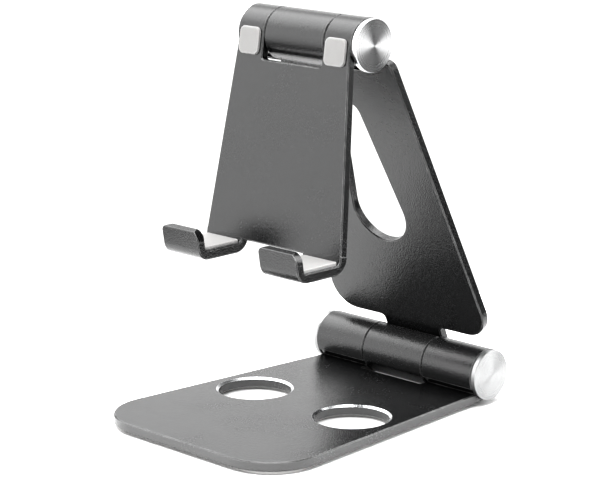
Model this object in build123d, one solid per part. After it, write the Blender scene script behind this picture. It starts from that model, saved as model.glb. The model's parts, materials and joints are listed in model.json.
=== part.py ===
"""Folding phone stand with two friction hinges.

Frame: +X to the right, -Y to the front (the side the phone faces), +Z up, floor at z = 0.
The origin is the bottom centre of the bounding box.
The base lies on the floor, the arm rises from the rear hinge and leans forward, and the holder
hangs from the upper hinge with two hooks at its foot. Both hinge axes run along X.
"""
from build123d import *
from math import cos, radians, sin, tan
import os

# ---- driving dimensions (mm and degrees) ----
plate = 3.0              # thickness of all three aluminium plates
barrel_r = 8.5           # hinge barrel radius
edge = 0.35              # broken edge on the plates

total_length = 113.6     # front edge of the base to the back of the lower barrel
base_half_front = 42.3   # half-widths of the tapered base
base_half_rear = 34.1
base_corner_r = 18.0
pad_t = 1.0              # silicone foot pad under the base
pad_inset = 1.6
pad_corner_r = 14.0      # squarer than the base, so the pad nearly meets its round corners
hole_x, hole_y = 21.9, 50.6    # hook holes: off the middle, and in front of the lower axis
hole_r = 11.95
rim_across, rim_down = 0.75, 0.6    # machined cone round the top of each hole
notch_front = 8.8        # front edge of the base's notch, from the lower axis

axis_z = 9.8             # lower hinge axis above the floor
lean = 22.4              # arm leans forward from vertical
arm_length = 121.0       # between the two hinge axes
shoulder = 9.6           # plate edges stand this far from either axis
arm_half_bottom = 34.7
arm_half_top = 24.5
arm_corner_r = 9.0
neck_half = 12.4
slot_low, slot_high = 53.2, 90.0   # centres of the cable slot's round ends, along the arm
slot_low_r, slot_high_r = 11.1, 4.7

holder_lean = 8.6        # holder's foot stands forward of vertical
holder_length = 65.8     # upper axis to the holder's bottom edge
holder_half_top = 23.7
holder_half_bottom = 29.8
holder_notch = 8.5

hook_in, hook_out = 13.4, 29.8     # hook runs between these distances from the middle
ledge_drop = 66.9        # ledge's top face at the plate, down from the upper axis
ledge_tilt = 8.8         # ledge opens the bend to more than a right angle
lip_lean = 9.0           # and the lip leans outwards beyond square
ledge_depth = 15.15      # plate to lip, along the ledge
lip_height = 10.0        # from the ledge's underside
lip_corner_r = 3.7

low_gap, low_end = 13.4, 34.7      # lower outer knuckles: inner face and outer end
up_gap, up_end = 13.0, 24.5        # upper outer knuckles
knuckle_play = 0.3       # side gap at each knuckle joint
seam_depth = 0.7         # step left where the rolled end of a knuckle meets its plate
seam_along, seam_across = 7.7, 3.6   # edge of the rolled end, along and across the plate
cap_r, cap_t, cap_edge = 8.3, 1.75, 0.4

shaft_r = 3.0
fit = 0.05               # running fit, on the radius
pocket_r = 6.2           # pockets for the head and the nut
bush_r = 4.6
washer_r = 6.0
washer_recess = 1.0

hinge_y = total_length / 2 - barrel_r
front_y = -total_length / 2

# ---- frames of the three plates ----
arm_frame = Plane((0, hinge_y, axis_z), x_dir=(1, 0, 0),
                  z_dir=(0, -cos(radians(lean)), -sin(radians(lean))))
up_y = hinge_y - arm_length * sin(radians(lean))
up_z = axis_z + arm_length * cos(radians(lean))
holder_frame = Plane((0, up_y, up_z), x_dir=(1, 0, 0),
                     z_dir=(0, -cos(radians(holder_lean)), sin(radians(holder_lean))))
low_axis = Plane((0, hinge_y, axis_z), x_dir=(0, 1, 0), z_dir=(1, 0, 0))
up_axis = Plane((0, up_y, up_z), x_dir=(0, 1, 0), z_dir=(1, 0, 0))


# ---- small helpers ----
def outline(points, radii):
    """Closed face from corner points, each with its own corner radius (0 leaves it sharp)."""
    face = make_face(Polyline(*points, close=True))
    for point, radius in zip(points, radii):
        if radius:
            corner = face.vertices().sort_by_distance(Vector(*point, 0))[0]
            face = fillet(corner, radius)
    return face


def slab(face, low, high):
    """Plate between two heights, with its outer edges broken."""
    body = Pos(0, 0, low) * extrude(face, high - low)
    rims = body.faces().filter_by(Axis.Z)
    return chamfer(rims.edges(), edge)


def tube(x0, x1, outer, inner=0.0):
    """Cylinder or ring about local Z, from x0 to x1 along the hinge."""
    length = abs(x1 - x0)
    body = Pos(0, 0, (x0 + x1) / 2) * Cylinder(outer, length)
    if inner:
        body -= Pos(0, 0, (x0 + x1) / 2) * Cylinder(inner, length + 2)
    return body


# ---- base ----
def base_half(y_from_axis):
    """Half-width of the base at a distance in front of the lower axis."""
    run = hinge_y - front_y
    return base_half_rear + (base_half_front - base_half_rear) * y_from_axis / run


def base_outline(inset, rear, notch_to, notch_half, front_r):
    """Base seen from above, notched for the arm's knuckle."""
    run = hinge_y - front_y
    half_front = base_half(run) - inset
    half_rear = base_half(rear) - inset
    y0, y1, yn = front_y + inset, hinge_y - rear, hinge_y - notch_to
    points = [(-half_front, y0), (half_front, y0), (half_rear, y1), (notch_half, y1),
              (notch_half, yn), (-notch_half, yn), (-notch_half, y1), (-half_rear, y1)]
    return outline(points, [front_r, front_r, 0, 0, 1.0, 1.0, 0, 0])


def knuckle(x0, x1, plate_angle, tangent_angle):
    """Barrel of one knuckle about local Z, with the step of its rolled end beside the plate.

    plate_angle is the way the plate runs off, and tangent_angle the side of the barrel it touches.
    """
    body = chamfer(tube(x0, x1, barrel_r).edges().filter_by(GeomType.CIRCLE), 0.25)
    along = Vector(cos(radians(plate_angle)), sin(radians(plate_angle)))
    across = Vector(cos(radians(tangent_angle)), sin(radians(tangent_angle)))
    lip_edge = (along * seam_along + across * seam_across).normalized() * 12
    inside = (along * 4 + across * barrel_r).normalized() * 12
    wedge = make_face(Polyline((0, 0), (lip_edge.X, lip_edge.Y), (inside.X, inside.Y), close=True))
    low, high = min(x0, x1) - 1, max(x0, x1) + 1
    step = Pos(0, 0, low) * extrude(wedge, high - low)
    return body - (step - tube(low - 1, high + 1, barrel_r - seam_depth))


def knuckle_bores(side, gap, end, floor):
    """Material taken out of one outer knuckle."""
    bore = tube(side * (gap - 1), side * (floor + 1), shaft_r + fit)
    return bore + tube(side * floor, side * (end + 1), pocket_r)


def base_plate():
    body = slab(base_outline(0, 0, notch_front, low_gap, base_corner_r), pad_t, pad_t + plate)
    for side in (-1, 1):
        body += low_axis * knuckle(side * low_gap, side * low_end, 180, 270)
    for side in (-1, 1):
        body -= low_axis * knuckle_bores(side, low_gap, low_end, low_floor)
        hole = Pos(side * hole_x, hinge_y - hole_y, pad_t + plate / 2)
        body -= hole * Cylinder(hole_r, plate + 2)
        top = Pos(side * hole_x, hinge_y - hole_y, pad_t + plate - rim_down / 2)
        body -= top * Cone(hole_r, hole_r + rim_across, rim_down)
    return body


def base_pad():
    face = base_outline(pad_inset, 3.0, notch_front + pad_inset, low_gap + pad_inset,
                        pad_corner_r)
    body = extrude(face, pad_t)
    for side in (-1, 1):
        body -= Pos(side * hole_x, hinge_y - hole_y, pad_t / 2) * Cylinder(hole_r + 0.9, pad_t + 2)
    return body


# ---- arm ----
def arm_slot():
    """Tapered slot: the outline drawn tightly round its two end circles."""
    ends = Pos(0, slot_low) * Circle(slot_low_r), Pos(0, slot_high) * Circle(slot_high_r)
    return make_hull([end.edge() for end in ends])


def arm_plate():
    low, high = shoulder, arm_length - shoulder
    points = [(-neck_half, 0), (neck_half, 0), (neck_half, low), (arm_half_bottom, low),
              (arm_half_top, high), (neck_half, high), (neck_half, arm_length),
              (-neck_half, arm_length), (-neck_half, high), (-arm_half_top, high),
              (-arm_half_bottom, low), (-neck_half, low)]
    radii = [0, 0, 1.5, arm_corner_r, 3.0, 1.5, 0, 0, 1.5, 3.0, arm_corner_r, 1.5]
    face = outline(points, radii) - arm_slot()
    body = arm_frame * slab(face, -barrel_r, -barrel_r + plate)
    for axis, gap, run in ((low_axis, low_gap, 90 + lean), (up_axis, up_gap, 270 + lean)):
        half = gap - knuckle_play
        body += axis * knuckle(-half, half, run, lean)
        bore = tube(-half - 1, half + 1, bush_r)
        for side in (-1, 1):
            bore += tube(side * (half - washer_recess), side * (half + 1), washer_r + 0.5)
        body -= axis * bore
    return body


# ---- holder ----
def lip_ways():
    """Outward and upward directions of a hook's lip, seen from the side."""
    turn = radians(ledge_tilt + lip_lean)
    return Vector(cos(turn), -sin(turn)), Vector(sin(turn), cos(turn))


def hook_profile():
    """Side view of one hook: plate foot, ledge and lip. First axis forward, second axis up."""
    tilt = radians(ledge_tilt)
    front, back = barrel_r, barrel_r - plate
    along = Vector(cos(tilt), -sin(tilt))
    rise = Vector(sin(tilt), cos(tilt))
    foot = Vector(front, -ledge_drop)
    under = -ledge_drop - plate / cos(tilt) + plate * tan(tilt)
    inner = foot + along * ledge_depth
    lip_out, lip_up = lip_ways()
    outer = inner + (lip_out - rise) * (plate / (1 - lip_out.dot(rise)))
    top_in = inner + lip_up * (lip_height - plate)
    top_out = top_in + lip_out * plate
    start = -ledge_drop + 2.8
    points = [(back, start), (back, under), (outer.X, outer.Y), (top_out.X, top_out.Y),
              (top_in.X, top_in.Y), (inner.X, inner.Y), (foot.X, foot.Y), (front, start)]
    return outline(points, [0, 5.0, 4.4, 0.5, 0.5, 0.8, 1.2, 0])


def hook(side):
    """One hook in the holder's frame, its lip's upper corners rounded."""
    profile = Plane((side * hook_in, 0, 0), x_dir=(0, 0, 1), z_dir=(-1, 0, 0)) * hook_profile()
    body = extrude(profile, hook_out - hook_in, dir=(side, 0, 0))
    ends = body.faces().filter_by(Axis.X)
    body = chamfer(ends.edges(), edge)
    lip_top = -ledge_drop + (lip_height - plate) * lip_ways()[1].Y
    lip_top -= ledge_depth * sin(radians(ledge_tilt))
    lip_y = barrel_r + ledge_depth
    size = lip_corner_r
    for x, way in ((hook_in, 1), (hook_out, -1)):
        square = Pos(side * (x + way * size / 2), lip_top + 1 - (size + 1) / 2, lip_y)
        cut = square * Box(size, size + 2, 12)
        keep = Pos(side * (x + way * size), lip_top - size, lip_y) * Cylinder(size, 14)
        body -= cut - keep
    return body


def holder_plate():
    foot = -holder_length
    top = -holder_notch
    taper = (holder_half_bottom - holder_half_top) / holder_length
    half = holder_half_top
    points = [(-half, 0), (-up_gap, 0), (-up_gap, top), (up_gap, top), (up_gap, 0), (half, 0),
              (holder_half_top + taper * holder_length, foot),
              (-holder_half_top - taper * holder_length, foot)]
    face = outline(points, [0, 0, 1.0, 1.0, 0, 0, 0.8, 0.8])
    body = holder_frame * slab(face, barrel_r - plate, barrel_r)
    for side in (-1, 1):
        body += up_axis * knuckle(side * up_gap, side * up_end, 270 - holder_lean,
                                  180 - holder_lean)
        body += holder_frame * hook(side)
    for side in (-1, 1):
        body -= up_axis * knuckle_bores(side, up_gap, up_end, up_floor)
    return body


def front_pad(side, holder):
    """Rounded square pad on one upper knuckle, where the phone leans."""
    size, thick, bite = 8.7, 0.8, 0.4
    face = RectangleRounded(size, size, 1.9)
    pad = Pos(side * 18.6, -3.1, barrel_r - bite) * extrude(face, thick + bite)
    return holder_frame * pad - holder


def hook_pad(side, holder):
    """Strip that fills one hook's ledge from the plate to the lip, where the phone stands."""
    start, stop, thick, inset = 0.1, ledge_depth - 0.1, 1.0, 0.9
    width = hook_out - hook_in - 2 * inset
    mid = (start + stop) / 2
    strip = Pos(side * (hook_in + hook_out) / 2, -ledge_drop, barrel_r)
    strip *= Rot(X=ledge_tilt) * Pos(0, thick / 2, mid)
    return holder_frame * (strip * Box(width, thick, stop - start)) - holder


# ---- hinge hardware, about local Z ----
head_h, nut_h, washer_t, spring_t = 3.6, 4.0, 0.8, 0.9
low_floor = 21.0         # pocket floors, from the middle
up_floor = 15.6          # shorter knuckles: the pockets start nearer the middle


def hexagon(flats, x0, x1):
    face = RegularPolygon(flats / 2, 6, major_radius=False)
    return Pos(0, 0, min(x0, x1)) * extrude(face, abs(x1 - x0))


def bolt(floor, grip):
    """Through bolt: head on the left, threaded end on the right."""
    head = hexagon(9.0, -floor - grip[0], -floor)
    shank = tube(-floor, floor + grip[1], shaft_r)
    return head + chamfer(shank.edges().sort_by(Axis.Z)[-1], 0.4)


def friction_washer(side, gap):
    """Washer that fills the side gap, seated in the middle knuckle's recess."""
    inner = gap - knuckle_play - washer_recess + 0.1
    return tube(side * inner, side * gap, washer_r, shaft_r + fit)


def disc_spring(x):
    """One conical disc spring."""
    rise, thick = 0.35, 0.5
    inner, outer = shaft_r + 0.15, 5.6
    section = Plane.XZ * make_face(Polyline((inner, x + rise), (outer, x), (outer, x + thick),
                                            (inner, x + rise + thick), close=True))
    return revolve(section, Axis.Z)


def bush(gap):
    half = gap - knuckle_play - washer_recess
    return tube(-half, half, bush_r, shaft_r + fit)


def cap(side, end):
    """Turned end cap: disc with a bevelled rim and a plug that presses into the pocket."""
    disc = tube(side * end, side * (end + cap_t), cap_r)
    outer = disc.edges().filter_by(GeomType.CIRCLE).sort_by(Axis.Z)[-1 if side > 0 else 0]
    return chamfer(outer, cap_edge) + tube(side * (end - plug_l), side * end, pocket_r - 0.1)


plug_l = 1.4


def hinge_hardware(name, axis, gap, end, floor, head):
    """Named pieces of one friction hinge."""
    pieces = {}
    x = floor + 0.02
    pieces[f"{name}_flat_washer"] = tube(x, x + washer_t, 5.8, shaft_r + fit)
    x += washer_t + 0.02
    for number in (1, 2):
        pieces[f"{name}_disc_spring_{number}"] = disc_spring(x)
        x += spring_t
    pieces[f"{name}_lock_nut"] = hexagon(9.0, x, x + head[1])
    pieces[f"{name}_lock_nut"] -= tube(x - 1, x + head[1] + 1, shaft_r + 0.02)
    pieces[f"{name}_bolt"] = bolt(floor, (head[0], x - floor + head[1] + 0.6))
    for side, word in ((-1, "left"), (1, "right")):
        pieces[f"{name}_friction_washer_{word}"] = friction_washer(side, gap)
        pieces[f"{name}_cap_{word}"] = cap(side, end)
    pieces[f"{name}_bush"] = bush(gap)
    return {node: axis * piece for node, piece in pieces.items()}


# ---- assembly ----
parts = {"base_plate": base_plate(), "base_pad": base_pad(), "arm_plate": arm_plate()}
holder = holder_plate()
parts["holder_plate"] = holder
for side, word in ((-1, "left"), (1, "right")):
    parts[f"front_pad_{word}"] = front_pad(side, holder)
    parts[f"hook_pad_{word}"] = hook_pad(side, holder)
parts |= hinge_hardware("lower", low_axis, low_gap, low_end, low_floor, (head_h, nut_h))
parts |= hinge_hardware("upper", up_axis, up_gap, up_end, up_floor, (3.0, 3.0))

os.makedirs("parts", exist_ok=True)
for node, solid in parts.items():
    export_step(solid, f"parts/{node}.step")
print(len(parts), "nodes; lower axis y, z:", round(hinge_y, 2), axis_z,
      " upper axis y, z:", round(up_y, 2), round(up_z, 2))
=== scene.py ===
# %% [markdown]
# # A folding phone stand
# The stand is three thin black anodised aluminium plates joined by two friction hinges.
# The imported CAD model comes in first as a fixed frame. It already has the plates, the hinge
# barrels and everything that moves at their real sizes, so this lesson adds the soft pads, the
# turned end caps and all the finishes.

# %% Load the frame
import json
from math import cos, pi, radians, sin
import bmesh
import bpy
from mathutils import Matrix, Vector


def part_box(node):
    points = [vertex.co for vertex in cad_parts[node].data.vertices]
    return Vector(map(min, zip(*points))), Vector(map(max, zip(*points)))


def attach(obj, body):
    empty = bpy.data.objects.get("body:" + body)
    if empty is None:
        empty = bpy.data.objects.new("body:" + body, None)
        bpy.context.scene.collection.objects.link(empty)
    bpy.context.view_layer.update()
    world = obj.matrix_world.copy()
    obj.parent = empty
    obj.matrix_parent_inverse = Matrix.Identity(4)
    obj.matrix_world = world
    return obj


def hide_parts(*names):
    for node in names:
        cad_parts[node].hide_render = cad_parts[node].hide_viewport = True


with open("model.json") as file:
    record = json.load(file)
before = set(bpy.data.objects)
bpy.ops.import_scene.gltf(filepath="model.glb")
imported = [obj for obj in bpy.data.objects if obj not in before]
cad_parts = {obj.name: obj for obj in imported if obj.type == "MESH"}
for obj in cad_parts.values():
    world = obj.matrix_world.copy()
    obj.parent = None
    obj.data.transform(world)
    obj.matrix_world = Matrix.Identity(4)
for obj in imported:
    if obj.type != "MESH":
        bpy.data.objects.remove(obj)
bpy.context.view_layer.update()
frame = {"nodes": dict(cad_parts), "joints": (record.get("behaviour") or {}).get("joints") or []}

MM = 0.001

# %% [markdown]
# ## Where things are
# Both hinge axes run along X, and their places come from the joints. The boxes of the CAD nodes
# say how far the caps reach. A box can't give a barrel's radius under its pads or how much the
# holder leans, so those two are typed in.
# The holder leans back a little. A small matrix for it lets a pad be built flat at the origin
# and then be stood on the holder: across, up the plate, and out to the front.

# %% Hinge axes and the holder's frame
joints = {joint["name"]: joint for joint in frame["joints"]}
lower_axis = Vector(joints["lower_hinge"]["pos_m"])
upper_axis = Vector(joints["upper_hinge"]["pos_m"])
barrel_radius = 8.5 * MM
holder_tilt = radians(8.6)
holder_frame = Matrix.Translation(upper_axis) @ Matrix((
    (1, 0, 0, 0),
    (0, sin(holder_tilt), -cos(holder_tilt), 0),
    (0, cos(holder_tilt), sin(holder_tilt), 0),
    (0, 0, 0, 1)))
print("lower axis", lower_axis, " upper axis", upper_axis)

# %% [markdown]
# ## The camera
# The stand is seen from the front right, a little above it, through a long lens. A long lens
# keeps the plates' edges nearly parallel, which is how a maker shows a product. The lens is
# given in millimetres for a sensor 36 mm wide.

# %% Camera
camera_place = Vector((0.49363, -0.50216, 0.22292))
look_way = Vector((-0.68288, 0.69311, -0.2308))
camera_data = bpy.data.cameras.new("catalogue_camera")
camera_data.sensor_width = 36
camera_data.lens = 134.6
camera = bpy.data.objects.new("catalogue_camera", camera_data)
bpy.context.scene.collection.objects.link(camera)
camera.location = camera_place
camera.rotation_euler = look_way.to_track_quat("-Z", "Y").to_euler()
bpy.context.scene.camera = camera
print("camera", round((camera_place - upper_axis).length, 3), "m from the upper hinge")

# %% [markdown]
# ## Wiring nodes in code
# Every finish below is a tree of shader nodes. A few small helpers keep that readable. The
# first adds any node with its settings and inputs, where an input is a number or another
# node's output. The others add what comes up most: a Math node, a smooth ramp from one range
# to another, a mix of two colours, a tint where a mask is set, and a bump. The last one writes
# a grey as a colour.

# %% Node helpers
def wire(tree, kind, settings=None, inputs=None):
    """Add a shader node, set it up and return it."""
    node = tree.nodes.new("ShaderNode" + kind)
    for key, value in (settings or {}).items():
        setattr(node, key, value)
    for key, value in (inputs or {}).items():
        if isinstance(value, bpy.types.NodeSocket):
            tree.links.new(value, node.inputs[key])
        else:
            node.inputs[key].default_value = value
    return node


def maths(tree, operation, a, b=0.0):
    """Add a Math node and return its result."""
    return wire(tree, "Math", {"operation": operation}, {0: a, 1: b}).outputs[0]


def ramp(tree, value, low, high, out_low=0.0, out_high=1.0):
    """Map a value smoothly from one range to another and return the result."""
    node = wire(tree, "MapRange", {"interpolation_type": "SMOOTHSTEP"},
                {0: value, 1: low, 2: high, 3: out_low, 4: out_high})
    return node.outputs[0]


def blend_colours(tree, share, first, second):
    """Mix two colours and return the result."""
    node = wire(tree, "Mix", {"data_type": "RGBA"}, {0: share, 6: first, 7: second})
    return node.outputs[2]


def tinted(tree, colour, mask, share, towards):
    """Take a colour towards another where a mask is set, by no more than a share."""
    return blend_colours(tree, maths(tree, "MULTIPLY", mask, share), colour, towards)


def bumped(tree, height, strength, depth):
    """Turn a height into a normal, depth in metres, and return it."""
    return wire(tree, "Bump", None, {
        "Strength": strength, "Distance": depth, "Height": height}).outputs["Normal"]


def grey(value, tint=0.0):
    """A grey, a little bluer where tint is above nought and warmer where it is below."""
    return (value * (1 - tint), value, value * (1 + tint), 1.0)


# %% [markdown]
# ## The studio
# Black anodised metal shows little colour of its own. What one sees on it is the room: large
# soft lamps, the pale table, and the dark stand mirrored in its own base. So the light is a dim
# grey room, darker still below the horizon, with a few broad soft panels far away. Each panel
# is a direction, a width and a strength, and each has its job: the left ones light the holder
# and the base, the back strip lights the turned caps, and the overhead one draws the long
# highlights on the barrels. The camera itself sees plain white behind the table. The scene's
# look adds contrast, so that black stays black next to bright aluminium.

# %% Soft light from all round
world = bpy.data.worlds.new("white_studio")
bpy.context.scene.world = world
world.use_nodes = True
sky = world.node_tree
sky.nodes.clear()
ray_way = wire(sky, "TexCoord").outputs["Generated"]
ROOM_GLOW = 0.30
BELOW_TABLE = 0.12
HORIZON_FROM, HORIZON_TO = -0.06, 0.02      # the ray's Z where the room takes over
# name: (turn from +X in degrees, height in degrees, half width, blur, strength)
soft_lamps = {
    "left_softbox": (185, 46, 22, 12, 3.1),
    "left_front_panel": (228, 8, 26, 16, 1.95),
    "left_back_panel": (136, 10, 22, 12, 1.0),
    "right_front_panel": (315, 8, 24, 14, 1.3),
    "right_back_strip": (58, 24, 20, 10, 3.5),
    "overhead": (300, 84, 26, 14, 4.6),
}
height_of_ray = wire(sky, "SeparateXYZ", None, {0: ray_way}).outputs["Z"]
glow = ramp(sky, height_of_ray, HORIZON_FROM, HORIZON_TO, BELOW_TABLE, ROOM_GLOW)
for turn, height, half_width, blur, strength in soft_lamps.values():
    way = Vector((cos(radians(height)) * cos(radians(turn)),
                  cos(radians(height)) * sin(radians(turn)), sin(radians(height))))
    facing = wire(sky, "VectorMath", {"operation": "DOT_PRODUCT"},
                  {0: ray_way, 1: way}).outputs["Value"]
    glow = maths(sky, "ADD", glow, ramp(sky, facing, cos(radians(half_width + blur)),
                                        cos(radians(half_width - blur)), 0.0, strength))
room = wire(sky, "Background", None, {"Color": (1, 1, 1, 1), "Strength": glow})
white = wire(sky, "Background", None, {"Color": (1, 1, 1, 1), "Strength": 1.0})
seen = wire(sky, "LightPath").outputs["Is Camera Ray"]
mixed = wire(sky, "MixShader", None, {0: seen, 1: room.outputs[0], 2: white.outputs[0]})
wire(sky, "OutputWorld", None, {"Surface": mixed.outputs[0]})
bpy.context.scene.view_settings.view_transform = "Standard"
bpy.context.scene.view_settings.look = "High Contrast"
print("soft lamps:", ", ".join(soft_lamps))

# %% [markdown]
# The table is one pale disc with a faint paper mottle. It lies a hair below the foot pad, so
# that the two surfaces don't fight. It is only a little larger than the stand, because a big
# white table would shine into every dark face from below. It counts as stage, not as part of
# the stand.

# %% Table
TABLE_RADIUS = 0.17
TABLE_GAP = 0.1 * MM
bpy.ops.object.select_all(action="DESELECT")
bpy.ops.mesh.primitive_circle_add(vertices=96, radius=TABLE_RADIUS, fill_type="NGON",
                                  location=(0, 0, -TABLE_GAP))
table = bpy.context.object
table.name = "table_top"
paper = bpy.data.materials.new("white_table")
paper.use_nodes = True
paper_shader = paper.node_tree.nodes["Principled BSDF"]
fibre = wire(paper.node_tree, "TexNoise", None, {
    "Vector": wire(paper.node_tree, "TexCoord").outputs["Object"],
    "Scale": 60.0, "Detail": 4.0})
paper.node_tree.links.new(
    blend_colours(paper.node_tree, fibre.outputs["Fac"], grey(0.93), grey(0.96)),
    paper_shader.inputs["Base Color"])
paper_shader.inputs["Roughness"].default_value = 0.85
table.data.materials.append(paper)
print("table", round(table.dimensions.x, 2), "m across")

# %% [markdown]
# ## Shared effects
# An effect that several finishes use is a node group: it takes a few named numbers and gives
# back a mask or a height. All of them read Object coordinates. The pieces never move inside
# their own objects, so a pattern stays put when the stand folds.

# %% A way to start a group
def new_group(name, inputs, outputs):
    """Start a shader node group with named numbers in and out."""
    group = bpy.data.node_groups.new(name, "ShaderNodeTree")
    for label, value in inputs.items():
        socket = group.interface.new_socket(name=label, in_out="INPUT",
                                            socket_type="NodeSocketFloat")
        socket.default_value = value
    for label in outputs:
        group.interface.new_socket(name=label, in_out="OUTPUT", socket_type="NodeSocketFloat")
    return group, group.nodes.new("NodeGroupInput").outputs, group.nodes.new("NodeGroupOutput")


def use_group(tree, group, **values):
    """Place a group in a material with its own values and return its outputs."""
    node = tree.nodes.new("ShaderNodeGroup")
    node.node_tree = group
    for label, value in values.items():
        node.inputs[label.replace("_", " ")].default_value = value
    return node.outputs


# %% [markdown]
# **Blasted grain.** The plates are bead blasted before they are anodised, which leaves tiny
# round pits. Fine noise gives the uneven tone and cells give the pits. Both are set by one
# number, the grain's size in metres.

# %% Group: blasted grain
blasted_grain, given, result = new_group(
    "blasted_grain", {"Grain Size": 0.3 * MM}, ["Tone", "Pits"])
place = wire(blasted_grain, "TexCoord").outputs["Object"]
per_metre = maths(blasted_grain, "DIVIDE", 1.0, given["Grain Size"])
speckle = wire(blasted_grain, "TexNoise", None, {
    "Vector": place, "Scale": per_metre, "Detail": 3.0, "Roughness": 0.6})
pit = wire(blasted_grain, "TexVoronoi", {"feature": "SMOOTH_F1"}, {
    "Vector": place, "Scale": maths(blasted_grain, "MULTIPLY", per_metre, 1.4)})
blasted_grain.links.new(ramp(blasted_grain, speckle.outputs["Fac"], 0.3, 0.7),
                        result.inputs["Tone"])
blasted_grain.links.new(
    maths(blasted_grain, "ADD", pit.outputs["Distance"], speckle.outputs["Fac"]),
    result.inputs["Pits"])
print(blasted_grain.name, "ready")

# %% [markdown]
# ** Worn and glinting edges.** Corners lose a little of their finish first, and the finishes also
# use this mask to paint a highlight along their edges. The Bevel node rounds the normal near a
# corner, so where it differs from the true normal there is an edge. The two normals are compared
# by their dot product, which is 1 on a flat face and falls towards an edge. Noise breaks the
# line up, because hands don't wear a part evenly.

# %% Group: worn and glinting edges
FLAT_FACE, FULL_EDGE = 0.995, 0.90          # dot products where wear starts and is full
PATCHES_PER_METRE = 260.0
edge_wear_and_glint, given, result = new_group(
    "edge_wear_and_glint", {"Width": 0.4 * MM, "Patchiness": 0.5}, ["Mask"])
rounded = wire(edge_wear_and_glint, "Bevel", {"samples": 6}, {"Radius": given["Width"]})
true_normal = wire(edge_wear_and_glint, "NewGeometry").outputs["Normal"]
agree = wire(edge_wear_and_glint, "VectorMath", {"operation": "DOT_PRODUCT"},
             {0: rounded.outputs["Normal"], 1: true_normal}).outputs["Value"]
corner = ramp(edge_wear_and_glint, agree, FLAT_FACE, FULL_EDGE)
broken = wire(edge_wear_and_glint, "TexNoise", None, {
    "Vector": wire(edge_wear_and_glint, "TexCoord").outputs["Object"],
    "Scale": PATCHES_PER_METRE, "Detail": 4.0})
kept = maths(edge_wear_and_glint, "SUBTRACT", 1.0, maths(
    edge_wear_and_glint, "MULTIPLY", given["Patchiness"],
    ramp(edge_wear_and_glint, broken.outputs["Fac"], 0.62, 0.40)))
edge_wear_and_glint.links.new(maths(edge_wear_and_glint, "MULTIPLY", corner, kept), result.inputs["Mask"])
print(edge_wear_and_glint.name, "ready")

# %% [markdown]
# **Handling.** Nothing stays perfectly even: broad soft smears change how glossy a surface is,
# and a few specks of dust sit on it.

# %% Group: handling
handling, given, result = new_group(
    "handling", {"Smear Size": 25 * MM, "Dust Size": 1.2 * MM}, ["Smears", "Dust"])
place = wire(handling, "TexCoord").outputs["Object"]
smear = wire(handling, "TexNoise", None, {
    "Vector": place, "Scale": maths(handling, "DIVIDE", 1.0, given["Smear Size"]),
    "Detail": 5.0, "Roughness": 0.55, "Distortion": 0.6})
speck = wire(handling, "TexVoronoi", None, {
    "Vector": place, "Scale": maths(handling, "DIVIDE", 1.0, given["Dust Size"])})
handling.links.new(ramp(handling, smear.outputs["Fac"], 0.35, 0.68), result.inputs["Smears"])
handling.links.new(ramp(handling, speck.outputs["Distance"], 0.10, 0.03), result.inputs["Dust"])
print(handling.name, "ready")

# %% [markdown]
# **Turned rings.** A lathe tool leaves fine rings round its axis. The distance from the axis,
# divided by the feed, gives the rings. The hinge axes run along X, so the distance is measured
# in Y and Z from the centre that each material gives.

# %% Group: turned rings
turned_rings, given, result = new_group(
    "turned_rings", {"Centre Y": 0.0, "Centre Z": 0.0, "Feed": 0.25 * MM}, ["Rings", "Tone"])
place = wire(turned_rings, "SeparateXYZ", None, {
    0: wire(turned_rings, "TexCoord").outputs["Object"]}).outputs
from_y = maths(turned_rings, "SUBTRACT", place["Y"], given["Centre Y"])
from_z = maths(turned_rings, "SUBTRACT", place["Z"], given["Centre Z"])
reach = maths(turned_rings, "SQRT", maths(
    turned_rings, "ADD", maths(turned_rings, "MULTIPLY", from_y, from_y),
    maths(turned_rings, "MULTIPLY", from_z, from_z)))
turns = maths(turned_rings, "DIVIDE", reach, given["Feed"])
rings = maths(turned_rings, "SINE", maths(turned_rings, "MULTIPLY", turns, 2 * pi))
uneven = wire(turned_rings, "TexNoise", {"noise_dimensions": "1D"}, {
    "W": turns, "Scale": 0.9, "Detail": 3.0})
turned_rings.links.new(
    maths(turned_rings, "MULTIPLY", rings, uneven.outputs["Fac"]), result.inputs["Rings"])
turned_rings.links.new(uneven.outputs["Fac"], result.inputs["Tone"])
print(turned_rings.name, "ready")

# %% [markdown]
# **Machined hole rims.** After anodising, the upper edge of each big hole in the base is cut
# again, which bares a bright cone. The mask is true inside a circle round the hole and above
# the height where the cone starts. Taking the distance from the middle plane serves both holes.

# %% Group: machined hole rims
CUTTER_FEED = 0.22 * MM
machined_rims, given, result = new_group(
    "machined_rims", {"Hole X": 0.0, "Hole Y": 0.0, "Reach": 0.0, "Start Height": 0.0},
    ["Mask", "Cutter Marks"])
place = wire(machined_rims, "SeparateXYZ", None, {
    0: wire(machined_rims, "TexCoord").outputs["Object"]}).outputs
off_x = maths(machined_rims, "SUBTRACT", maths(machined_rims, "ABSOLUTE", place["X"]),
              given["Hole X"])
off_y = maths(machined_rims, "SUBTRACT", place["Y"], given["Hole Y"])
off = maths(machined_rims, "SQRT", maths(
    machined_rims, "ADD", maths(machined_rims, "MULTIPLY", off_x, off_x),
    maths(machined_rims, "MULTIPLY", off_y, off_y)))
inside = maths(machined_rims, "LESS_THAN", off, given["Reach"])
above = maths(machined_rims, "GREATER_THAN", place["Z"], given["Start Height"])
machined_rims.links.new(maths(machined_rims, "MULTIPLY", inside, above), result.inputs["Mask"])
machined_rims.links.new(
    maths(machined_rims, "SINE", maths(machined_rims, "MULTIPLY", off, 2 * pi / CUTTER_FEED)),
    result.inputs["Cutter Marks"])
print(machined_rims.name, "ready")

# %% [markdown]
# ## Finishes
# Each finish starts from a new material with one Principled shader. One helper starts it, and
# another connects colours and values that change over the surface to the shader's inputs by
# name. What is the same all over, such as how far a skin bends light, is set on the shader.

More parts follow.
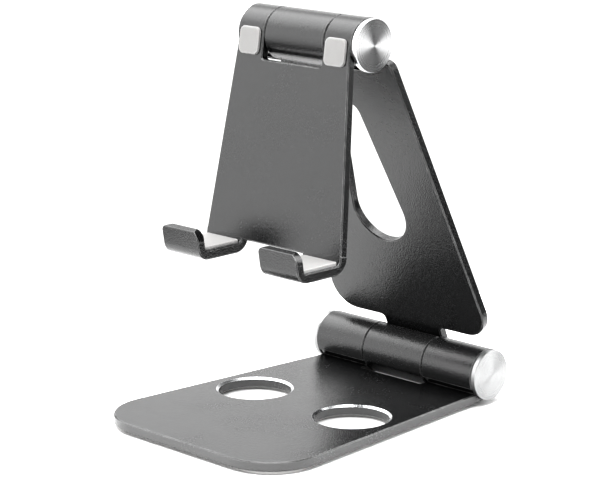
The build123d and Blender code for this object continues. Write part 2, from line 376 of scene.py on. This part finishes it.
# %% Start a finish
def start_material(name):
    """A new material, its tree and its Principled shader."""
    material = bpy.data.materials.new(name)
    material.use_nodes = True
    return material, material.node_tree, material.node_tree.nodes["Principled BSDF"]


def feed(tree, shader, **outputs):
    """Connect outputs to the shader's inputs by name."""
    for label, output in outputs.items():
        tree.links.new(output, shader.inputs[label.replace("_", " ")])


# %% [markdown]
# ### Black anodised aluminium
# The dye sits in a clear oxide layer, so this is a black body under a glossy skin and not a
# metallic shader. Oxide bends light more than plastic does, which is why its index is high and
# its grazing reflections are strong. The grain breaks up the gloss, and the edges are painted a
# little lighter, partly as wear and partly as a painted highlight. On the base, the upright
# sides are painted a lighter grey as a painted reflection of the bright table close by, and the
# rims of its two holes are cut after the dye, down to bare metal.

# %% Black anodised finish
OXIDE_INDEX = 1.66
DYE_DEEP, DYE_LIGHT = grey(0.001, 0.03), grey(0.018, 0.03)
# edge colour: partly wear, partly a painted highlight along the edges
WORN_AND_GLINTING_EDGE, WORN_AND_GLINTING_SHARE = grey(0.42), 0.65
DUST, DUST_SHARE = grey(0.30, -0.03), 0.12
# the base's upright sides are painted lighter, a painted reflection of the bright table
PAINTED_SIDE_REFLECTION, BARE_RIM = grey(0.07), grey(0.80, 0.01)
GLOSS, GRAIN_DULLS, SMEARS_DULL, RIM_GLOSS = 0.18, 0.07, 0.04, 0.20
BASE_TOP = 4.01 * MM            # a hair above the base's upper face
UPRIGHT, LEVEL = 0.3, 0.9       # how much of a face's normal points up or down
HOLE_X, HOLE_Y = 21.9 * MM, -2.3 * MM
RIM_REACH, RIM_START = 12.73 * MM, 3.39 * MM
CUTTER_MARK_HEIGHT = 0.2


def painted_side_reflection_mask(tree):
    """1 on the upright faces of the base plate, which are painted lighter as a painted
    reflection.
    """
    upright = maths(tree, "ABSOLUTE", wire(tree, "SeparateXYZ", None, {
        0: wire(tree, "TexCoord").outputs["Normal"]}).outputs["Z"])
    height = wire(tree, "SeparateXYZ", None, {0: wire(tree, "TexCoord").outputs["Object"]})
    low = maths(tree, "LESS_THAN", height.outputs["Z"], BASE_TOP)
    return maths(tree, "MULTIPLY", low, ramp(tree, upright, LEVEL, UPRIGHT))


def anodised(name, is_base=False):
    """Black anodised aluminium; on the base, bare hole rims and sides painted lighter as a
    painted reflection.
    """
    material, tree, shader = start_material(name)
    grain = use_group(tree, blasted_grain, Grain_Size=0.60 * MM)
    marks = use_group(tree, handling, Smear_Size=28 * MM, Dust_Size=2.6 * MM)
    edges = use_group(tree, edge_wear_and_glint, Width=0.45 * MM, Patchiness=0.6)
    colour = blend_colours(tree, grain["Tone"], DYE_DEEP, DYE_LIGHT)
    # edges painted lighter: partly wear, partly a painted highlight
    colour = tinted(tree, colour, edges["Mask"], WORN_AND_GLINTING_SHARE, WORN_AND_GLINTING_EDGE)
    colour = tinted(tree, colour, marks["Dust"], DUST_SHARE, DUST)
    gloss = wire(tree, "Math", {"operation": "MULTIPLY_ADD"}, {
        0: grain["Tone"], 1: GRAIN_DULLS, 2: GLOSS}).outputs[0]
    gloss = maths(tree, "ADD", gloss, maths(tree, "MULTIPLY", marks["Smears"], SMEARS_DULL))
    height = grain["Pits"]
    if is_base:
        # upright sides of the base painted lighter: a painted reflection of the bright table
        # close by
        colour = blend_colours(tree, painted_side_reflection_mask(tree), colour, PAINTED_SIDE_REFLECTION)
        rims = use_group(tree, machined_rims, Hole_X=HOLE_X, Hole_Y=HOLE_Y, Reach=RIM_REACH,
                         Start_Height=RIM_START)
        colour = blend_colours(tree, rims["Mask"], colour, BARE_RIM)
        gloss = wire(tree, "Mix", None, {0: rims["Mask"], 2: gloss, 3: RIM_GLOSS}).outputs[0]
        height = wire(tree, "Mix", None, {
            0: rims["Mask"], 2: height,
            3: maths(tree, "MULTIPLY", rims["Cutter Marks"], CUTTER_MARK_HEIGHT)}).outputs[0]
        feed(tree, shader, Metallic=rims["Mask"])
    feed(tree, shader, Base_Color=colour, Roughness=gloss,
         Normal=bumped(tree, height, 0.8, 0.06 * MM))
    shader.inputs["IOR"].default_value = OXIDE_INDEX
    return material


black_plate = anodised("black_anodised")
black_base = anodised("black_anodised_bright_rims", is_base=True)
print("finishes:", black_plate.name, black_base.name)

# %% [markdown]
# ### Turned aluminium
# The caps are faced on a lathe. The tool's rings are far finer than the eye can see, and they
# stretch every reflection across them, which makes the light and dark fans on such a face.
# Anisotropy with a tangent round X does just that. Each hinge has its own centre, so there is
# one material for each. The lower caps stand in the light that the table throws up and would
# look whiter than the upper ones, so their grey is set darker.

# %% Turned aluminium finish
UPPER_TONE, LOWER_TONE, TONE_SPREAD = 0.88, 0.36, 0.05
# the caps' edges are painted lighter, a painted highlight
PAINTED_EDGE_HIGHLIGHT, PAINTED_EDGE_HIGHLIGHT_SHARE = grey(0.95), 0.3
TURNED_GLOSS = (0.27, 0.31)
RING_STRETCH = 0.92


def turned(name, axis, tone):
    """Bare aluminium turned about an axis along X, tone its middle grey."""
    material, tree, shader = start_material(name)
    rings = use_group(tree, turned_rings, Centre_Y=axis.y, Centre_Z=axis.z, Feed=0.42 * MM)
    grain = use_group(tree, blasted_grain, Grain_Size=0.22 * MM)
    edges = use_group(tree, edge_wear_and_glint, Width=0.2 * MM, Patchiness=0.3)
    colour = blend_colours(tree, grain["Tone"], grey(tone - TONE_SPREAD, 0.004),
                           grey(tone + TONE_SPREAD, 0.004))
    # edges painted lighter: a painted highlight along the rims
    colour = tinted(tree, colour, edges["Mask"], PAINTED_EDGE_HIGHLIGHT_SHARE, PAINTED_EDGE_HIGHLIGHT)
    feed(tree, shader, Base_Color=colour,
         Roughness=ramp(tree, rings["Tone"], 0.2, 0.8, *TURNED_GLOSS),
         Normal=bumped(tree, rings["Rings"], 0.12, 0.01 * MM),
         Tangent=wire(tree, "Tangent", {"direction_type": "RADIAL", "axis": "X"}).outputs[0])
    shader.inputs["Metallic"].default_value = 1.0
    shader.inputs["Anisotropic"].default_value = RING_STRETCH
    return material


turned_caps = {"lower": turned("turned_aluminium_lower", lower_axis, LOWER_TONE),
               "upper": turned("turned_aluminium_upper", upper_axis, UPPER_TONE)}
print("finishes:", ", ".join(m.name for m in turned_caps.values()))

# %% [markdown]
# ### Grey silicone
# The pads are cast silicone: matt, slightly cloudy, with a fine tooth from the mould. Their thin
# rounded rims are painted paler than their flat faces, a painted glow for the light that passes
# into the rubber. Sheen gives the soft bloom of rubber. The foot pad is the same rubber with a
# weaker painted glow on its edges, and dustier.

# %% Silicone finish
SILICONE_INDEX, SILICONE_SHEEN = 1.41, 0.15
SILICONE_GLOSS = (0.50, 0.62)


def silicone(name, tone, rim, dusty):
    """Cast silicone of a grey tone, its rims painted paler as a painted glow, dusty the share of
    dust.
    """
    material, tree, shader = start_material(name)
    grain = use_group(tree, blasted_grain, Grain_Size=0.24 * MM)
    marks = use_group(tree, handling, Smear_Size=7 * MM, Dust_Size=0.9 * MM)
    edges = use_group(tree, edge_wear_and_glint, Width=1.1 * MM, Patchiness=0.1)
    colour = blend_colours(tree, grain["Tone"], grey(tone * 0.96, -0.012),
                           grey(tone * 1.03, -0.012))
    colour = tinted(tree, colour, marks["Smears"], 0.25, grey(tone * 0.93, -0.02))
    colour = tinted(tree, colour, marks["Dust"], dusty, grey(tone * 0.5, -0.03))
    # rims painted paler: a painted glow for light that passes into the rubber
    colour = blend_colours(tree, edges["Mask"], colour, grey(rim, -0.005))
    feed(tree, shader, Base_Color=colour,
         Roughness=ramp(tree, marks["Smears"], 0.0, 1.0, *SILICONE_GLOSS),
         Normal=bumped(tree, grain["Pits"], 0.3, 0.01 * MM))
    shader.inputs["IOR"].default_value = SILICONE_INDEX
    shader.inputs["Sheen Weight"].default_value = SILICONE_SHEEN
    return material


# rim is the grey of the painted glow on the pads' rims
pad_silicone = silicone("grey_silicone", tone=0.32, rim=0.50, dusty=0.12)
foot_silicone = silicone("grey_silicone_foot", tone=0.36, rim=0.42, dusty=0.30)
print("finishes:", pad_silicone.name, foot_silicone.name)

# %% [markdown]
# ### Hinge hardware
# Bolts, nuts, springs and flat washers are zinc plated steel. The plating is bright with a
# patchy crystalline bloom. The bushes and friction washers are bearing bronze, which darkens in
# patches as it is handled. They hardly show, but they are there when a cap comes off.

# %% Zinc plated steel and bearing bronze
BLOOM_DULLS = 0.16


def plated(name, bright, dull, metal_gloss, bloom):
    """A metal whose surface blooms in patches, bloom their size in metres."""
    material, tree, shader = start_material(name)
    grain = use_group(tree, blasted_grain, Grain_Size=0.18 * MM)
    marks = use_group(tree, handling, Smear_Size=bloom, Dust_Size=0.8 * MM)
    edges = use_group(tree, edge_wear_and_glint, Width=0.25 * MM, Patchiness=0.5)
    colour = blend_colours(tree, marks["Smears"], bright, dull)
    colour = tinted(tree, colour, edges["Mask"], 0.5, bright)
    feed(tree, shader, Base_Color=colour,
         Roughness=ramp(tree, marks["Smears"], 0.0, 1.0, metal_gloss,
                        metal_gloss + BLOOM_DULLS),
         Normal=bumped(tree, grain["Pits"], 0.3, 0.008 * MM))
    shader.inputs["Metallic"].default_value = 1.0
    return material


zinc = plated("zinc_plated_steel", bright=(0.62, 0.64, 0.66, 1), dull=(0.44, 0.46, 0.49, 1),
              metal_gloss=0.28, bloom=3 * MM)
bronze = plated("bearing_bronze", bright=(0.62, 0.40, 0.20, 1), dull=(0.36, 0.22, 0.11, 1),
                metal_gloss=0.30, bloom=4 * MM)
print("finishes:", zinc.name, bronze.name)

# %% [markdown]
# ## Dress the CAD nodes
# The plates with their barrels and the hidden hardware keep their CAD meshes, which are exact.
# Each only gets its finish, chosen by what its name says it is.

# %% Finishes on CAD nodes
def finish_for(name):
    """The finish of a CAD node, from its name."""
    if name == "base_plate":
        return black_base
    if name.endswith("_plate"):
        return black_plate
    if "pad" in name:
        return foot_silicone if name == "base_pad" else pad_silicone
    if "cap" in name:
        return turned_caps[name.split("_")[0]]
    return bronze if "bush" in name or "friction" in name else zinc


for name, node in frame["nodes"].items():
    node.data.materials.clear()
    node.data.materials.append(finish_for(name))
print("dressed", len(frame["nodes"]), "CAD nodes")

# %% [markdown]
# ## Modelling by hand, in code
# New pieces are shaped the way one does it by hand: add a primitive, go into edit mode, select
# some faces or edges, and bevel, inset or extrude them. An operator works on all that is
# selected, so everything is deselected first, and a selection is made by asking each face or
# edge where it is.

# %% Selecting by place
# a direction runs along an axis above the first share of it, and across it below the second
ALONG, ACROSS = 0.9, 0.1


def fresh_start():
    """Leave edit mode and deselect everything."""
    if bpy.context.mode != "OBJECT":
        bpy.ops.object.mode_set(mode="OBJECT")
    bpy.ops.object.select_all(action="DESELECT")


def choose(kind, wanted):
    """In edit mode, select only the faces or edges that pass a test, and count them.

    The test gets each one's middle, and a face's normal or an edge's direction.
    """
    bpy.ops.mesh.select_mode(type=kind)
    bpy.ops.mesh.select_all(action="DESELECT")
    mesh = bmesh.from_edit_mesh(bpy.context.edit_object.data)
    count = 0
    for part in (mesh.faces if kind == "FACE" else mesh.edges):
        if kind == "FACE":
            middle, way = part.calc_center_median(), part.normal
        else:
            middle = (part.verts[0].co + part.verts[1].co) / 2
            way = (part.verts[1].co - part.verts[0].co).normalized()
        if wanted(middle, way):
            part.select_set(True)
            count += 1
    bmesh.update_edit_mesh(bpy.context.edit_object.data)
    return count


def settle(piece, name, finish, smooth_below=32):
    """Apply the place, name the piece, give it its finish and smooth its round faces.

    Edges sharper than smooth_below, in degrees, stay crisp.
    """
    fresh_start()
    piece.select_set(True)
    bpy.context.view_layer.objects.active = piece
    bpy.ops.object.transform_apply(location=True, rotation=True, scale=True)
    bpy.ops.object.shade_smooth_by_angle(angle=radians(smooth_below))
    piece.name = name
    piece.data.name = name
    piece.data.materials.clear()
    piece.data.materials.append(finish)
    return piece


def own_copy(piece):
    """A copy of a piece with its own mesh, left selected and active."""
    fresh_start()
    piece.select_set(True)
    bpy.context.view_layer.objects.active = piece
    bpy.ops.object.duplicate(linked=False)
    return bpy.context.object


# %% [markdown]
# ## End caps
# Each barrel is closed by a turned cap: a disc with a crisp rim and a nearly flat face, which
# rises a little towards its centre. Behind, a short plug presses into the barrel. A spun
# profile would also do, but a cylinder whose end is inset and raised ring by ring is built the
# way a lathe works its way inwards. The slight changes of slope between the rings catch the
# light as fine circles. The cap is modelled once, at the lower right, and the other three are
# copies.

# %% Model one cap
ON_PLACE = 0.01 * MM            # how closely a face or edge has to be where it should
DISC_BACK = 34.7 * MM           # where the barrel ends and the disc begins
cap_low, cap_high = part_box("lower_cap_right")
cap_face = cap_high.x
cap_radius = (cap_high.z - cap_low.z) / 2
# width and rise of each ring of the face in mm, from the rim inwards
ring_steps = [(0.7, 0.012), (1.4, 0.03), (1.4, 0.035), (1.4, 0.03), (1.4, 0.025),
              (1.0, 0.015)]
fresh_start()
bpy.ops.mesh.primitive_cylinder_add(
    vertices=144, radius=cap_radius, depth=cap_face - DISC_BACK, end_fill_type="NGON",
    rotation=(0, pi / 2, 0),
    location=((cap_face + DISC_BACK) / 2, lower_axis.y, lower_axis.z))
cap = bpy.context.object
bpy.ops.object.transform_apply(location=True, rotation=True, scale=True)
bpy.ops.object.mode_set(mode="EDIT")


def off_axis(point):
    """How far a point is from the lower hinge's axis."""
    return Vector((0, point.y - lower_axis.y, point.z - lower_axis.z)).length


def face_centre(middle, way):
    """True for the face that looks outwards in the middle of the disc."""
    return way.x > ALONG and off_axis(middle) < ON_PLACE


for width, rise in ring_steps:
    choose("FACE", face_centre)
    bpy.ops.mesh.inset(thickness=width * MM, depth=rise * MM)
choose("FACE", face_centre)
bpy.ops.mesh.poke(offset=0)
print("cap face rings:", len(ring_steps))

# %% [markdown]
# The rim gets one small chamfer, which shows as a bright line round the face. The plug comes
# from the disc's back, which is inset to the plug's radius and pushed into the barrel. One more
# inset rings the plug's end. The disc's back edge is rounded last, which leaves a fine dark
# line between the cap and its barrel.

# %% Rim and plug of the cap
PLUG_RADIUS, PLUG_DEPTH, PLUG_RING = 6.1 * MM, 1.4 * MM, 0.4 * MM
RIM_CHAMFER, BACK_ROUNDING = 0.18 * MM, 0.22 * MM
FULL_RADIUS = 0.995             # a straight edge's middle lies a little inside the circle


def outermost(middle, way):
    """True for the edges that run round the disc at its full radius."""
    return abs(way.x) < ACROSS and off_axis(middle) > cap_radius * FULL_RADIUS


rim_edges = choose("EDGE", lambda middle, way: outermost(middle, way)
                   and middle.x > cap_face - ON_PLACE)
bpy.ops.mesh.bevel(offset=RIM_CHAMFER, segments=1)
choose("FACE", lambda middle, way: way.x < -ALONG)
bpy.ops.mesh.inset(thickness=cap_radius - PLUG_RADIUS, depth=0)
bpy.ops.mesh.extrude_region_move(
    TRANSFORM_OT_translate={"value": (-PLUG_DEPTH, 0, 0)})
bpy.ops.mesh.inset(thickness=PLUG_RING, depth=0)
back_edges = choose("EDGE", lambda middle, way: outermost(middle, way)
                    and abs(middle.x - DISC_BACK) < ON_PLACE)
bpy.ops.mesh.bevel(offset=BACK_ROUNDING, segments=2, profile=0.5)
cap = settle(cap, "lower_end_cap_right", turned_caps["lower"])
print("rim edges", rim_edges, " back edges", back_edges, " faces", len(cap.data.polygons))

# %% [markdown]
# The left caps are the right ones turned round: a mirror would leave the faces inside out, so
# their normals are recalculated afterwards. The upper caps are moved in and up to the other
# axis. Each rides on the body whose barrel it closes.

# %% Copy the cap to the other three barrel ends
def mirrored_in_x(piece):
    """Mirror the active copy in X and turn its faces outwards again."""
    piece.scale.x = -1
    bpy.ops.object.transform_apply(location=True, rotation=True, scale=True)
    bpy.ops.object.mode_set(mode="EDIT")
    bpy.ops.mesh.select_all(action="SELECT")
    bpy.ops.mesh.normals_make_consistent(inside=False)
    bpy.ops.object.mode_set(mode="OBJECT")
    return piece


to_upper = Vector((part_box("upper_cap_right")[1].x - cap_face, upper_axis.y - lower_axis.y,
                   upper_axis.z - lower_axis.z))
upper_cap = own_copy(cap)
bpy.ops.transform.translate(value=to_upper)
upper_cap = settle(upper_cap, "upper_end_cap_right", turned_caps["upper"])
caps = {"lower_cap_right": cap, "upper_cap_right": upper_cap}
for hinge, right_cap in (("lower", cap), ("upper", upper_cap)):
    left_cap = mirrored_in_x(own_copy(right_cap))
    caps[f"{hinge}_cap_left"] = settle(left_cap, f"{hinge}_end_cap_left", turned_caps[hinge])
for node, piece in caps.items():
    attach(piece, "base" if node.startswith("lower") else "holder")
    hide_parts(node)
print("caps:", ", ".join(piece.name for piece in caps.values()))

# %% [markdown]
# ## Front pads and hook pads
# Four silicone pads keep the phone from touching metal. They are cast, so nothing on them is
# sharp: the corners are round, the rim rolls over, and the face is crowned very slightly. A
# cube is bevelled at its four uprights for the corners, then its top is inset and lifted for
# the crown, and its upper rim is bevelled round. One function makes both sizes, flat at the
# origin, and a matrix stands the result on the holder.

# %% A cast pad
# how far each ring of the crown is inset, in rim rolls, and its share of the crown
crown_steps = [(1.6, 0.6), (2.0, 0.4)]
SAME_HEIGHT = 0.002 * MM


def cast_pad(width, length, thick, corner_radius, roll, crown):
    """A soft rounded pad, flat on z = 0, centred on the origin, its long axes along x and y."""
    fresh_start()
    bpy.ops.mesh.primitive_cube_add(size=1, location=(0, 0, thick / 2))
    pad = bpy.context.object
    pad.scale = (width, length, thick)
    bpy.ops.object.transform_apply(location=True, rotation=True, scale=True)
    bpy.ops.object.mode_set(mode="EDIT")
    choose("EDGE", lambda middle, way: abs(way.z) > ALONG)
    bpy.ops.mesh.bevel(offset=corner_radius, segments=8, profile=0.5)
    top_height = thick - crown
    choose("FACE", lambda middle, way: way.z > ALONG)
    bpy.ops.transform.translate(value=(0, 0, -crown))
    for rolls, share in crown_steps:
        bpy.ops.mesh.inset(thickness=roll * rolls, depth=crown * share)
    # a rounded corner comes 0.29 of its radius inside the square one
    rim_band = 0.3 * corner_radius + 0.05 * MM

    def upper_rim(middle, way):
        """True for the outermost edges round the top; the crown's rings lie higher."""
        outside = (abs(middle.x) > width / 2 - rim_band
                   or abs(middle.y) > length / 2 - rim_band)
        return (outside and abs(way.z) < ACROSS
                and abs(middle.z - top_height) < SAME_HEIGHT)

    choose("EDGE", upper_rim)
    bpy.ops.mesh.bevel(offset=roll, segments=4, profile=0.5)
    bpy.ops.object.mode_set(mode="OBJECT")
    return pad


def stand_on_holder(pad, across, up, out, tilt=0.0):
    """Put a pad made flat at the origin on the holder."""
    pad.matrix_world = (holder_frame @ Matrix.Translation((across, up, out))
                        @ Matrix.Rotation(tilt, 4, "X"))
    return pad


def declare_pad(piece, node, body):
    """What the model has to know about a pad."""
    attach(piece, body)
    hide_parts(node)


# %% [markdown]
# The front pads are square, one on each side of the holder, just below the height of the hinge
# axis. Their faces stand proud of the plate, and their backs are sunk a little into it, so that
# no gap shows round their rims.

# %% Front pads
PAD_SMOOTH_BELOW = 50
FRONT_SIZE, FRONT_PROUD, FRONT_SUNK = 8.7 * MM, 0.8 * MM, 0.15 * MM
FRONT_ACROSS, FRONT_UP = 18.6 * MM, -3.1 * MM
FRONT_CORNER, FRONT_ROLL, FRONT_CROWN = 1.9 * MM, 0.30 * MM, 0.05 * MM
for word, side in (("left", -1), ("right", 1)):
    pad = cast_pad(FRONT_SIZE, FRONT_SIZE, FRONT_PROUD + FRONT_SUNK, FRONT_CORNER, FRONT_ROLL,
                   FRONT_CROWN)
    stand_on_holder(pad, side * FRONT_ACROSS, FRONT_UP, barrel_radius - FRONT_SUNK)
    pad = settle(pad, f"front_pad_{word}_cast", pad_silicone, PAD_SMOOTH_BELOW)
    declare_pad(pad, f"front_pad_{word}", "holder")
print("front pad faces", len(pad.data.polygons))

# %% [markdown]
# Each hook's ledge carries a longer strip, from the holder's face out to the hook's upturned
# lip. The ledge isn't quite square to the holder, so the strip is tilted with it. It is moved
# along its own length first, so that the tilt turns it about the ledge's inner end.

# %% Hook pads
LEDGE_TILT = radians(8.8)
HOOK_ACROSS, LEDGE_DROP = 21.6 * MM, 66.9 * MM
HOOK_WIDTH, HOOK_THICK, HOOK_FROM, HOOK_TO = 14.6 * MM, 1.0 * MM, 0.1 * MM, 15.05 * MM
HOOK_CORNER, HOOK_ROLL, HOOK_CROWN = 0.9 * MM, 0.22 * MM, 0.04 * MM
lie_on_ledge = LEDGE_TILT - pi / 2
for word, side in (("left", -1), ("right", 1)):
    pad = cast_pad(HOOK_WIDTH, HOOK_TO - HOOK_FROM, HOOK_THICK, HOOK_CORNER, HOOK_ROLL,
                   HOOK_CROWN)
    pad.data.transform(Matrix.Translation((0, -(HOOK_FROM + HOOK_TO) / 2, 0)))
    stand_on_holder(pad, side * HOOK_ACROSS, -LEDGE_DROP, barrel_radius, lie_on_ledge)
    pad = settle(pad, f"hook_pad_{word}_cast", pad_silicone, PAD_SMOOTH_BELOW)
    declare_pad(pad, f"hook_pad_{word}", "holder")
print("hook pad faces", len(pad.data.polygons))

# %% [markdown]
# ## Foot pad
# A thin silicone sheet under the base keeps the stand from sliding. Its outline follows the
# base, so the CAD mesh is the best start. The copy first drops its parent and its tags, to
# count as a new piece. A CAD mesh is loose triangles, so its points are merged and its flat
# triangles dissolved, and then a small bevel rounds the die-cut edge.

# %% Foot pad from the CAD outline
DIE_CUT_ROUNDING = 0.22 * MM
SAME_POINT = 0.001 * MM
foot = own_copy(frame["nodes"]["base_pad"])
foot.parent = None
for key in list(foot.keys()):
    del foot[key]
bpy.ops.object.mode_set(mode="EDIT")
bpy.ops.mesh.select_all(action="SELECT")
bpy.ops.mesh.remove_doubles(threshold=SAME_POINT)
bpy.ops.mesh.dissolve_limited(angle_limit=radians(0.5))
bpy.ops.object.mode_set(mode="OBJECT")
soften = foot.modifiers.new("die_cut_edge", "BEVEL")
soften.width = DIE_CUT_ROUNDING
soften.segments = 2
soften.limit_method = "ANGLE"
soften.angle_limit = radians(50)
bpy.ops.object.modifier_apply(modifier=soften.name)
foot = settle(foot, "foot_pad_sheet", foot_silicone, smooth_below=40)
declare_pad(foot, "base_pad", "base")
print("foot pad faces", len(foot.data.polygons))
